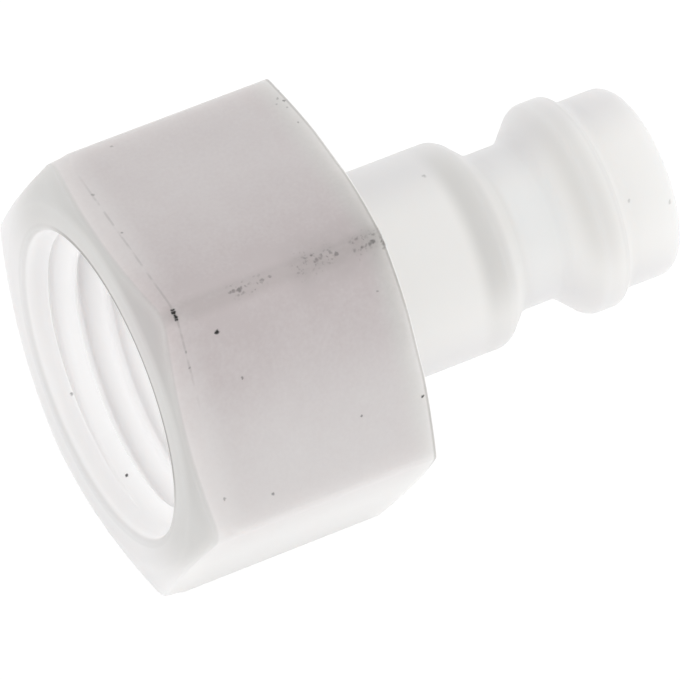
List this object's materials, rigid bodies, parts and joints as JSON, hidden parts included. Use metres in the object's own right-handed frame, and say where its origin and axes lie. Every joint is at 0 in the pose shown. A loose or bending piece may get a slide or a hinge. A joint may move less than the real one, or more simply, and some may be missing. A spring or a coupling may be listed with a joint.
{
  "type": "coupling nipple",
  "caption": "One-piece plastic coupling nipple: a hexagon with a female pipe thread at one end and a grooved quick-coupling plug at the other, with a bore through both.",
  "frame": {"origin": "centre of the mouth of the threaded bore, on the axis", "axes": "+X along the axis from the mouth to the plug's nose; +Z is the normal of the top flat when the nipple lies on the opposite flat; +Y completes the right-handed set"},
  "size_m": [0.025, 0.0196, 0.017],
  "materials": {
    "plastic": "satin natural white plastic, slightly translucent"
  },
  "bodies": {
    "root": {"nipple": "plastic"}
  },
  "joints": []
}
